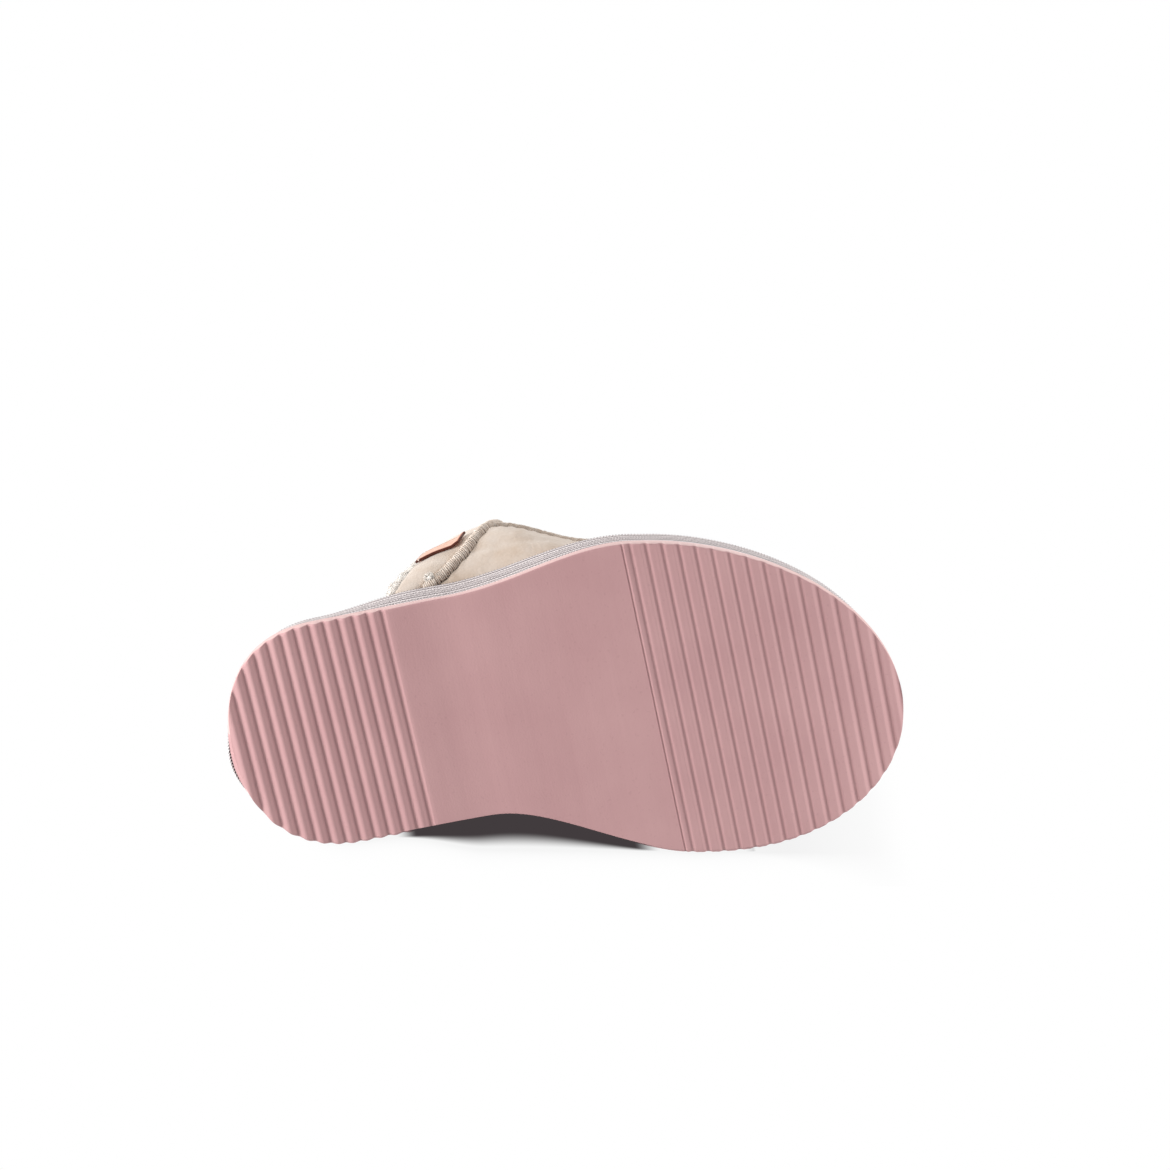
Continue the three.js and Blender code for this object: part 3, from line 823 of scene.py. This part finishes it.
def makeLabel(shape=labelShape):
    label = layGrid("leather_label_face", labelPoint, 20, 56)
    faceOut(label, (-0.002, 0.02, 0.02))
    across, length = shape["burnt"]
    edge = label.data.attributes.new("burnt", "FLOAT", "POINT")
    uvs = label.data.uv_layers[0].data
    near = np.ones(len(label.data.vertices))
    for corner, uv in zip(label.data.loops, uvs):
        u, v = uv.uv
        near[corner.vertex_index] = min(u * across, (1 - u) * across, v * length, (1 - v) * length)
    edge.data.foreach_set("value", near.astype(np.float32))
    thicken(label, shape["thick"] / 1000, offset=1)
    applyAll(label)
    bevel = label.modifiers.new("worn", "BEVEL")
    bevel.width, bevel.segments = shape["bevel"] / 1000, 2
    bevel.limit_method, bevel.angle_limit = "ANGLE", 0.9
    applyAll(label)
    smoothUnder(shape["keepAngle"])
    standFor(label, "label_leather", "leather_label")
    return label


def labelStitchRoute(share, depth, shape=labelShape):
    along = np.full_like(share, shape["stitchAt"])
    return labelPoint(mix(*shape["stitchSpan"], share), along, lift=shape["thick"] - depth)


def makeLabelStitches(shape=labelShape):
    deselect()
    bpy.ops.mesh.primitive_cylinder_add(vertices=8, radius=shape["stitchRadius"] / 1000,
                                        depth=shape["stitchLong"] / 1000, rotation=(0, math.pi / 2, 0))
    stitch = bpy.context.object
    bpy.ops.object.transform_apply(location=False, rotation=True)
    bevel = stitch.modifiers.new("round", "BEVEL")
    bevel.width, bevel.segments = shape["stitchBevel"] / 1000, 2
    applyAll(stitch)
    piece = copiesAlong("label_thread", stitch, seamFrames(labelStitchRoute, shape["stitches"])[:3])
    bpy.data.objects.remove(stitch)
    standFor(piece, "seam_thread", "label_stitch")
    return piece


label = makeLabel()
labelThread = makeLabelStitches()
print("label made")


# Fleece: a soft ground with tufts of curved wool on it
fleeceShape = {
    "strandRadius": 0.085, "tipRadius": 0.02, "curl": 0.75, "droop": 0.25,
    "lean": 0.7, "wander": 0.28, "lengths": (0.7, 1.2), "rooted": 0.0001,
    "liningStrands": 11500, "liningLong": 2.3, "liningDepth": 4.1, "liningThick": 1.2,
    "sockStrands": 36000, "sockLong": 1.9, "sockSides": 0.3,
    "rollStrands": 26000, "rollLong": 0.75, "rollRadius": 1.9, "rollBack": 2.6, "rollDepth": 2.8,
    "rollRows": 180, "rollEnd": 5,
    "tuft": 0.013, "tuftRadius": 0.7, "tuftStrands": 600, "tuftLong": 1.0, "tuftOut": (0.6, -0.9),
}


def woolStrand(shape=fleeceShape):
    deselect()
    bpy.ops.mesh.primitive_cone_add(vertices=3, radius1=shape["strandRadius"], radius2=shape["tipRadius"],
                                    depth=1, location=(0, 0, 0.5))
    strand = bpy.context.object
    bpy.ops.object.transform_apply(location=True)
    editAll(strand)
    bpy.ops.mesh.bisect(plane_co=(0, 0, 0.5), plane_no=(0, 0, 1))
    endEdit()
    bent = points(strand)
    bent[:, 0] += shape["curl"] * bent[:, 2] ** 2
    bent[:, 2] -= shape["droop"] * bent[:, 2] ** 2
    setPoints(strand, bent)
    return strand


# Places and normals spread evenly over a mesh's faces, from a fixed seed
def scatter(piece, count, seed, keep=None):
    mesh = piece.data
    mesh.calc_loop_triangles()
    corners = np.empty(len(mesh.loop_triangles) * 3, int)
    mesh.loop_triangles.foreach_get("vertices", corners)
    a, b, c = (points(piece)[corners.reshape(-1, 3)[:, k]] for k in range(3))
    normal = np.cross(b - a, c - a)
    area = np.linalg.norm(normal, axis=1)
    normal /= np.maximum(area, 1e-15)[:, None]
    if keep is not None:
        area = area * keep((a + b + c) / 3, normal)
    chance = np.random.default_rng(seed)
    face = chance.choice(len(area), count, p=area / area.sum())
    r1, r2 = np.sqrt(chance.random(count))[:, None], chance.random(count)[:, None]
    spot = a[face] * (1 - r1) + b[face] * r1 * (1 - r2) + c[face] * r1 * r2
    return spot, normal[face], chance


def growWool(name, ground, count, length, seed, keep=None, sides=1.0, shape=fleeceShape):
    spot, normal, chance = scatter(ground, count, seed, keep)
    # neighbouring strands lean the same way, so that they gather into tufts
    swirl = spot * 1000
    lean = np.stack([np.sin(swirl[:, 1] * 1.9 + 2 * np.sin(swirl[:, 0] * 1.3)),
                     np.sin(swirl[:, 0] * 2.1 + 2 * np.sin(swirl[:, 2] * 1.7 + swirl[:, 1])),
                     np.sin(swirl[:, 2] * 1.6 + swirl[:, 0] * 1.1)], 1)
    out = normal + shape["lean"] * lean + chance.normal(0, shape["wander"], spot.shape)
    out /= np.linalg.norm(out, axis=1)[:, None]
    run = np.cross(out, chance.normal(0, 1, spot.shape) + 2 * lean)
    run /= np.linalg.norm(run, axis=1)[:, None]
    strand = woolStrand()
    size = length * chance.uniform(*shape["lengths"], count) / 1000
    size = size * mix(sides, 1, np.clip(normal[:, 2], 0, 1) ** 2)
    wool = copiesAlong(name, strand, (spot - normal * shape["rooted"], run, out), None, size)
    bpy.data.objects.remove(strand)
    return wool


def liningPoint(u, v, shape=fleeceShape):
    side = 2 * u - 1
    toe = form["length"] - form["upperInset"][2] - shape["liningDepth"]
    along = mix(mouthAlong(side) + 0.4, toe, np.sin(v * math.pi / 2))
    return upperPoint(side, along, shape["liningDepth"])


def makeLining(shape=fleeceShape):
    lining = layGrid("fleece_lining_soft", liningPoint, 110, 80)
    tidyMesh(lining, outwards=False)
    faceOut(lining, upperMiddle)
    ripple(lining, 0.004, 0.0005)
    applyAll(lining)
    thicken(lining, shape["liningThick"] / 1000)
    applyAll(lining)

    def inside(centre, normal):
        facing = ((np.array([0, -0.02, 0.028]) - centre) * normal).sum(1) > 0
        nearMouth = np.clip(1.2 - (0.03 - centre[:, 1]) / 0.09, 0.15, 1)
        return facing * nearMouth

    joinTo(lining, growWool("wool", lining, shape["liningStrands"], shape["liningLong"], 11, inside))
    standFor(lining, "fleece", "fleece_lining")
    return lining


def rollRoute(share, depth):
    side, along = besideSeam(mouthEdge, mix(0.02, 0.98, share), fleeceShape["rollBack"])
    return upperPoint(side, along, fleeceShape["rollDepth"] + depth)


def makeRoll(shape=fleeceShape):
    rows = shape["rollRows"]
    here, run, out = seamFrames(rollRoute, rows + 1)[:3]
    across = np.cross(out, run)

    def point(u, v):
        row = np.round(v * rows).astype(int)
        angle = u * 2 * math.pi
        end = np.clip(np.minimum(v, 1 - v) * rows / shape["rollEnd"], 0, 1)
        radius = shape["rollRadius"] / 1000 * np.sqrt(np.clip(1 - (1 - end) ** 2, 0, 1))
        around = np.cos(angle)[:, None] * across[row] + np.sin(angle)[:, None] * out[row]
        return here[row] + radius[:, None] * around

    roll = layGrid("collar_edge_soft", point, 28, rows)
    tidyMesh(roll)
    ripple(roll, 0.003, 0.0009)
    applyAll(roll)
    joinTo(roll, growWool("wool", roll, shape["rollStrands"], shape["rollLong"], 23))
    beside, rise = shape["tuftOut"]
    tuftAt = upperPoint(*besideSeam(collarSeam, np.array([shape["tuft"]]), beside), rise)[0]
    bpy.ops.mesh.primitive_ico_sphere_add(subdivisions=2, radius=shape["tuftRadius"] / 1000,
                                          location=tuftAt)
    tuft = bpy.context.object
    applyAll(tuft)
    bpy.ops.object.transform_apply(location=True, rotation=True, scale=True)
    joinTo(tuft, growWool("wool", tuft, shape["tuftStrands"], shape["tuftLong"], 41))
    joinTo(roll, tuft)
    standFor(roll, "fleece", "collar_roll")
    return roll


sockShape = {
    "inset": (4.9, 9.2, 13.6), "top": 18.3, "crown": 0.9, "foot": (13.6, 17.8),
    "wrapFrom": 0.86, "round": 4.5, "thick": 0.6,
}


# Cushions swell under pressure inside their own cover
swellShape = {"pressure": 4.0, "frames": 20, "cap": 0.0007}


def swell(piece, shape=swellShape):
    pick(piece)
    before = points(piece)
    cloth = piece.modifiers.new("cover", "CLOTH")
    cloth.settings.use_pressure = True
    cloth.settings.uniform_pressure_force = shape["pressure"]
    cloth.settings.effector_weights.gravity = 0
    scene.frame_start, scene.frame_end = 1, shape["frames"]
    cloth.point_cache.frame_start, cloth.point_cache.frame_end = 1, shape["frames"]
    for step in range(1, shape["frames"] + 1):
        scene.frame_set(step)
    applyAll(piece)
    scene.frame_set(1)
    moved = points(piece) - before
    long = np.linalg.norm(moved, axis=1)[:, None]
    setPoints(piece, before + moved * np.minimum(1, shape["cap"] / np.maximum(long, 1e-9)))


def sockPoint(u, v, shape=sockShape):
    along = mix(shape["inset"][0], form["length"] - shape["inset"][2], (1 - np.cos(math.pi * v)) / 2)
    side = np.clip(2 * u - 1, -1, 1)
    wrapped = np.clip((np.abs(side) - shape["wrapFrom"]) / (1 - shape["wrapFrom"]), 0, 1)
    flat = np.clip(np.abs(side) / shape["wrapFrom"], 0, 1)
    half = halfWidth(along, shape["inset"])
    ends = np.minimum(along - shape["inset"][0], form["length"] - shape["inset"][2] - along)
    foot = mix(shape["foot"][0], shape["foot"][1], ease(along, 34, 48))
    crown = shape["crown"] * (1 - flat ** 3) * ease(ends, 0, 14)
    atSide = roundedEdge(half * (1 - flat), shape["round"], shape["round"])
    atEnd = roundedEdge(ends, shape["round"], shape["round"])
    top = shape["top"] + crown - np.maximum(atSide, atEnd)
    z = mix(top, foot, wrapped ** 1.4)
    return place(centreLine(along) + np.sign(side) * half * flat, along, z)


def makeSock(shape=fleeceShape):
    sock = layGrid("footbed_sock_soft", sockPoint, 70, 120)
    tidyMesh(sock, outwards=False)
    faceOut(sock, (0, 0, 0.004))
    thicken(sock, sockShape["thick"] / 1000)
    applyAll(sock)
    swell(sock)
    ripple(sock, 0.005, 0.0007)
    applyAll(sock)

    def outside(centre, normal):
        return ((centre - np.array([0, 0.01, 0.0])) * normal).sum(1) > 0.002

    joinTo(sock, growWool("wool", sock, shape["sockStrands"], shape["sockLong"], 37, outside,
                          shape["sockSides"]))
    standFor(sock, "fleece", "footbed_sock")
    return sock


lining = makeLining()
roll = makeRoll()
sock = makeSock()
print("fleece grown")


# Foam and padding inside, made from the same outlines with rounded edges
def softPart(node, name, voxel, slot, wave):
    part = nodeCopy(node, name)
    remesh = part.modifiers.new("even", "REMESH")
    remesh.mode, remesh.voxel_size = "VOXEL", voxel
    smooth = part.modifiers.new("soft", "SMOOTH")
    smooth.iterations = 4
    ripple(part, 0.006, wave)
    applyAll(part)
    bpy.ops.object.shade_smooth()
    standFor(part, slot, node)
    return part


platform = softPart("midsole", "midsole_platform", 0.0016, "sole_foam", 0.0002)
footbedFoam = softPart("footbed_foam", "footbed_cushion", 0.0011, "cushion_foam", 0.0003)
collarFoam = softPart("collar_foam", "collar_padding", 0.0006, "cushion_foam", 0.0001)
vampPadding = softPart("vamp_padding", "vamp_padding_soft", 0.0006, "cushion_foam", 0.0001)
print("inner parts made")


# Finishes
def makeSoleFoam():
    finish = Finish("duskyPinkFoam", 0.62, specular=0.35)
    cloudy = finish.noise(38, 3)
    base = finish.ramp(cloudy, [(0.3, tint(197, 152, 154)), (0.7, tint(205, 161, 162))])
    streaks = finish.noise(260, 3, stretch=(0.06, 1, 1))
    base = finish.blend(finish.maths("MULTIPLY", streaks, 0.16), base, tint(222, 184, 182))
    specks = finish.ramp(finish.noise(1500, 0), [(0.2, (0.6, 0.55, 0.55, 1)), (0.27, (1, 1, 1, 1))])
    base = finish.blend(0.14, base, specks, "MULTIPLY")
    # painted highlight: the side wall is lightened as if lit from above
    wallHighlight = finish.node("ShaderNodeAttribute", attribute_name="paintedWallHighlight").outputs["Fac"]
    base = finish.blend(wallHighlight, base, tint(230, 196, 193))
    finish.colour(base)
    finish.bump(streaks, 0.00035, 0.35)
    finish.bump(finish.noise(1900, 2), 0.00012, 0.35)
    return finish


def makeWeave(shape=tapeShape):
    finish = Finish("herringboneWeave", 0.85, sheen=0.25)
    parts = finish.node("ShaderNodeSeparateXYZ")
    finish.link(finish.uv, parts.inputs[0])
    far = finish.maths("MULTIPLY", parts.outputs[0], shape["mapUnit"])
    up = finish.maths("MULTIPLY", parts.outputs[1], shape["mapUnit"])
    zigzag = finish.maths("PINGPONG", up, shape["band"])

    def ridges(value):
        turned = finish.maths("MULTIPLY", value, math.pi / shape["yarn"])
        return finish.maths("ABSOLUTE", finish.maths("SINE", turned))

    yarn = ridges(finish.maths("ADD", far, zigzag))
    cross = finish.maths("MULTIPLY", ridges(finish.maths("SUBTRACT", far, zigzag)), 0.45)
    weave = finish.maths("MULTIPLY", yarn, finish.maths("ADD", 0.55, cross))
    # painted shade in the gaps between yarns and painted highlight on their crests, following the weave's
    # relief
    shades = [(0.14, tint(38, 27, 34)), (0.4, tint(128, 108, 114)), (0.66, tint(246, 237, 236))]
    base = finish.ramp(weave, shades)
    worn = finish.noise(90, 3)
    finish.colour(finish.blend(finish.maths("MULTIPLY", worn, 0.12), base, tint(190, 172, 172)))
    finish.bump(weave, 0.0002, 0.6)
    finish.bump(finish.noise(3500, 1), 0.00006, 0.4)
    return finish


def makeSuede():
    finish = Finish("beigeSuede", 0.95, sheen=0.45, sheenRoughness=0.55, specular=0.2)
    brushed = finish.noise(170, 3)
    shades = [(0.3, tint(207, 187, 168)), (0.5, tint(215, 199, 184)), (0.7, tint(222, 209, 197))]
    base = finish.ramp(brushed, shades)
    nap = finish.noise(1400, 3)
    finish.colour(finish.blend(finish.maths("MULTIPLY", nap, 0.3), base, tint(182, 158, 138)))
    finish.bump(finish.noise(420, 3), 0.00025, 0.5)
    finish.bump(nap, 0.00012, 0.7)
    return finish


def makeFleece():
    finish = Finish("creamFleece", 1.0, sheen=0.6, sheenRoughness=0.6, specular=0.1)
    tufts = finish.noise(260, 3)
    finish.colour(finish.ramp(tufts, [(0.3, tint(240, 232, 223)), (0.6, tint(252, 248, 242))]))
    finish.bump(finish.noise(1200, 2), 0.00004, 0.3)
    return finish


def makeThread():
    finish = Finish("beigeThread", 0.8, sheen=0.3, specular=0.3)
    twist = finish.noise(700, 2)
    finish.colour(finish.ramp(twist, [(0.3, tint(216, 199, 184)), (0.7, tint(238, 227, 216))]))
    finish.bump(finish.noise(3200, 1), 0.00005, 0.6)
    return finish


def makeLeather():
    finish = Finish("labelLeather", 0.5, specular=0.4)
    burnt = finish.node("ShaderNodeAttribute", attribute_name="burnt").outputs["Fac"]
    grain = finish.noise(900, 3)
    face = finish.ramp(grain, [(0.3, tint(234, 188, 166)), (0.7, tint(243, 206, 188))])
    shades = [(0.12, tint(92, 50, 38)), (0.34, tint(206, 156, 134)), (0.6, (1, 1, 1, 1))]
    edge = finish.ramp(burnt, shades)
    finish.colour(finish.blend(1.0, face, edge, "MULTIPLY"))
    finish.bump(grain, 0.0001, 0.5)
    return finish


def makeFoam(name, low, high, cell):
    finish = Finish(name, 0.9, specular=0.2)
    cells = finish.node("ShaderNodeTexVoronoi")
    finish.link(finish.place, cells.inputs["Vector"])
    cells.inputs["Scale"].default_value = cell
    finish.colour(finish.ramp(cells.outputs["Distance"], [(0.1, low), (0.6, high)]))
    finish.bump(cells.outputs["Distance"], 0.0002, 0.5)
    return finish


def makeBoard():
    finish = Finish("fibreBoard", 0.9, specular=0.2)
    fibres = finish.noise(500, 4, stretch=(1, 0.25, 1))
    finish.colour(finish.ramp(fibres, [(0.3, tint(150, 124, 94)), (0.7, tint(196, 172, 138))]))
    finish.bump(fibres, 0.0001, 0.5)
    return finish


makeSoleFoam().on(outsole)
makeWeave().on(tape)
makeSuede().on(vamp, outerPanel, innerPanel, collarBand)
makeFleece().on(lining, roll, sock)
makeThread().on(collarStitches, outerStitches, innerStitches, labelThread)
makeLeather().on(label)
cushionFoam = makeFoam("cushionFoam", tint(222, 206, 196), tint(240, 230, 222), 1400)
cushionFoam.on(footbedFoam, collarFoam, vampPadding)
makeFoam("platformFoam", tint(196, 146, 148), tint(210, 162, 163), 1700).on(platform)
makeFoam("toeStiffener", tint(216, 208, 196), tint(236, 231, 222), 900).on(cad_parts["toe_puff"])
makeBoard().on(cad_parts["insole_board"])
print("finishes set")


# Floor that shows only from above, and a card of painted shadow under the arch where the slipper lies on
# its side
stageShape = {
    "floor": 0.7, "fade": (0.13, 0.5), "card": -0.0004, "dark": tint(66, 60, 62), "run": (4, 156),
    "heelTouch": (18.0, 20.4), "ballTouch": (118.0, 43.3), "past": 9, "under": 0.8,
    "fadeFrom": 0.02, "fadeTo": 0.55, "touch": 0.09, "faintShade": 0.045,
}


def seenByCameraOnly(piece):
    piece.visible_diffuse = piece.visible_glossy = False
    piece.visible_shadow = piece.visible_transmission = False


def makeFloor(shape=stageShape):
    deselect()
    bpy.ops.mesh.primitive_circle_add(vertices=96, radius=shape["floor"], fill_type="NGON",
                                      location=(0, 0, -0.0002))
    floor = bpy.context.object
    floor.name = "studio_floor"
    finish = Finish("paleFloor", 0.9, specular=0.1)
    tone = finish.ramp(finish.noise(2, 1), [(0.3, (0.86, 0.86, 0.86, 1)), (0.7, (0.88, 0.88, 0.88, 1))])
    finish.colour(tone)
    clear = finish.node("ShaderNodeBsdfTransparent")
    behind = finish.node("ShaderNodeNewGeometry").outputs["Backfacing"]
    far = finish.node("ShaderNodeVectorMath", operation="LENGTH")
    finish.link(finish.place, far.inputs[0])
    fade = finish.node("ShaderNodeMapRange", interpolation_type="SMOOTHSTEP")
    finish.link(far.outputs["Value"], fade.inputs["Value"])
    fade.inputs["From Min"].default_value, fade.inputs["From Max"].default_value = shape["fade"]
    hidden = finish.maths("MAXIMUM", behind, fade.outputs["Result"])
    finish.surface(hidden, finish.shader.outputs[0], clear.outputs[0])
    finish.on(floor)
    seenByCameraOnly(floor)


def makeShadeCard(shape=stageShape):
    heelAt, ballAt = shape["heelTouch"], shape["ballTouch"]

    # the sole's edge, and the line between the two places where it touches the ground
    def edgeAndChord(along):
        edge = centreLine(along) + halfWidth(along, form["noInset"])
        share = (along - heelAt[0]) / (ballAt[0] - heelAt[0])
        return edge, mix(heelAt[1], ballAt[1], share) - form["middle"][0], share

    def point(u, v):
        along = mix(shape["run"][0], shape["run"][1], v)
        edge, chord = edgeAndChord(along)[:2]
        across = mix(edge - shape["under"], np.maximum(chord, edge) + shape["past"], u)
        flat = place(across, along, 0.0)
        flat[:, 2] = shape["card"]
        return flat

    card = layGrid("arch_shade", point, 80, 240)
    flat = points(card)
    along = form["middle"][1] - flat[:, 1] * 1000
    across = flat[:, 0] * 1000 - form["middle"][0]
    edge, chord, share = edgeAndChord(along)
    chord = mix(edge, chord, ease(share, 0.08, 0.36))
    gap = np.maximum(chord - edge, 0.01)
    left = np.clip((chord - across) / gap, -1, 1)
    # painted shadow: dark in the gap under the arch, with faint painted contact shade along the sole's
    # edge
    dark = ease(left, shape["fadeFrom"], shape["fadeTo"]) * ease(gap, 0.2, 2.0)
    dark *= (share > 0) * (share < 1) * ease(share, 0.1, 0.2)
    soft = shape["touch"] * np.exp(-np.maximum(across - np.maximum(edge, chord), 0) / 1.6)
    soft *= ease(share, -0.1, 0.15) * (1 - ease(share, 0.95, 1.35))
    soft += shape["faintShade"] * ease(left, -1, 0.2) * ease(share, 0.9, 1.1) * (1 - ease(along, 144, 156))
    value = card.data.attributes.new("shade", "FLOAT", "POINT")
    value.data.foreach_set("value", np.maximum(dark, soft).astype(np.float32))
    finish = Finish("softShade", 1)
    shade = finish.node("ShaderNodeAttribute", attribute_name="shade").outputs["Fac"]
    # the painted shadow's colour, given as a dark emission
    dim = finish.node("ShaderNodeEmission")
    dim.inputs["Color"].default_value = shape["dark"]
    clear = finish.node("ShaderNodeBsdfTransparent")
    finish.surface(shade, clear.outputs[0], dim.outputs[0])
    finish.on(card)
    seenByCameraOnly(card)


# Soft studio light, white all round
lightShape = {
    "world": 0.405,
    "soft": [
        ("heelKey", (-0.12, 0.48, -0.15), 0.22, 2.5, (1, 0.985, 0.975)),
        ("toeKey", (0.08, -0.32, -0.12), 0.14, 0.62, (1, 0.985, 0.975)),
        ("outerKey", (-0.9, 0.15, -0.05), 0.6, 2.6, (1, 0.99, 0.98)),
        ("topKey", (-0.45, -0.35, 0.95), 0.7, 7.5, (1, 0.99, 0.98)),
        ("innerFill", (0.85, 0.25, 0.6), 0.8, 3.5, (1, 1, 1)),
    ],
}


def lightStage(shape=lightShape):
    for name, at, size, power, colour in shape["soft"]:
        data = bpy.data.lights.new(name, "AREA")
        data.shape, data.size, data.energy, data.color = "DISK", size, power, colour
        lamp = addObject(name, data)
        lamp.location = at
        lamp.rotation_euler = (-Vector(at)).to_track_quat("-Z", "Y").to_euler()
        lamp.visible_camera = False
    world = bpy.data.worlds.new("whiteStudio")
    world.use_nodes = True
    scene.world = world
    tree = world.node_tree
    glow = tree.nodes["Background"]
    glow.inputs["Color"].default_value = (1, 1, 1, 1)
    seen = tree.nodes.new("ShaderNodeLightPath")
    power = tree.nodes.new("ShaderNodeMapRange")
    power.inputs["To Min"].default_value = shape["world"]
    power.inputs["To Max"].default_value = 1.0
    tree.links.new(seen.outputs["Is Camera Ray"], power.inputs["Value"])
    tree.links.new(power.outputs["Result"], glow.inputs["Strength"])
    scene.view_settings.view_transform = "Standard"
    scene.view_settings.look = "None"


makeFloor()
makeShadeCard()
lightStage()
print("stage and light set")
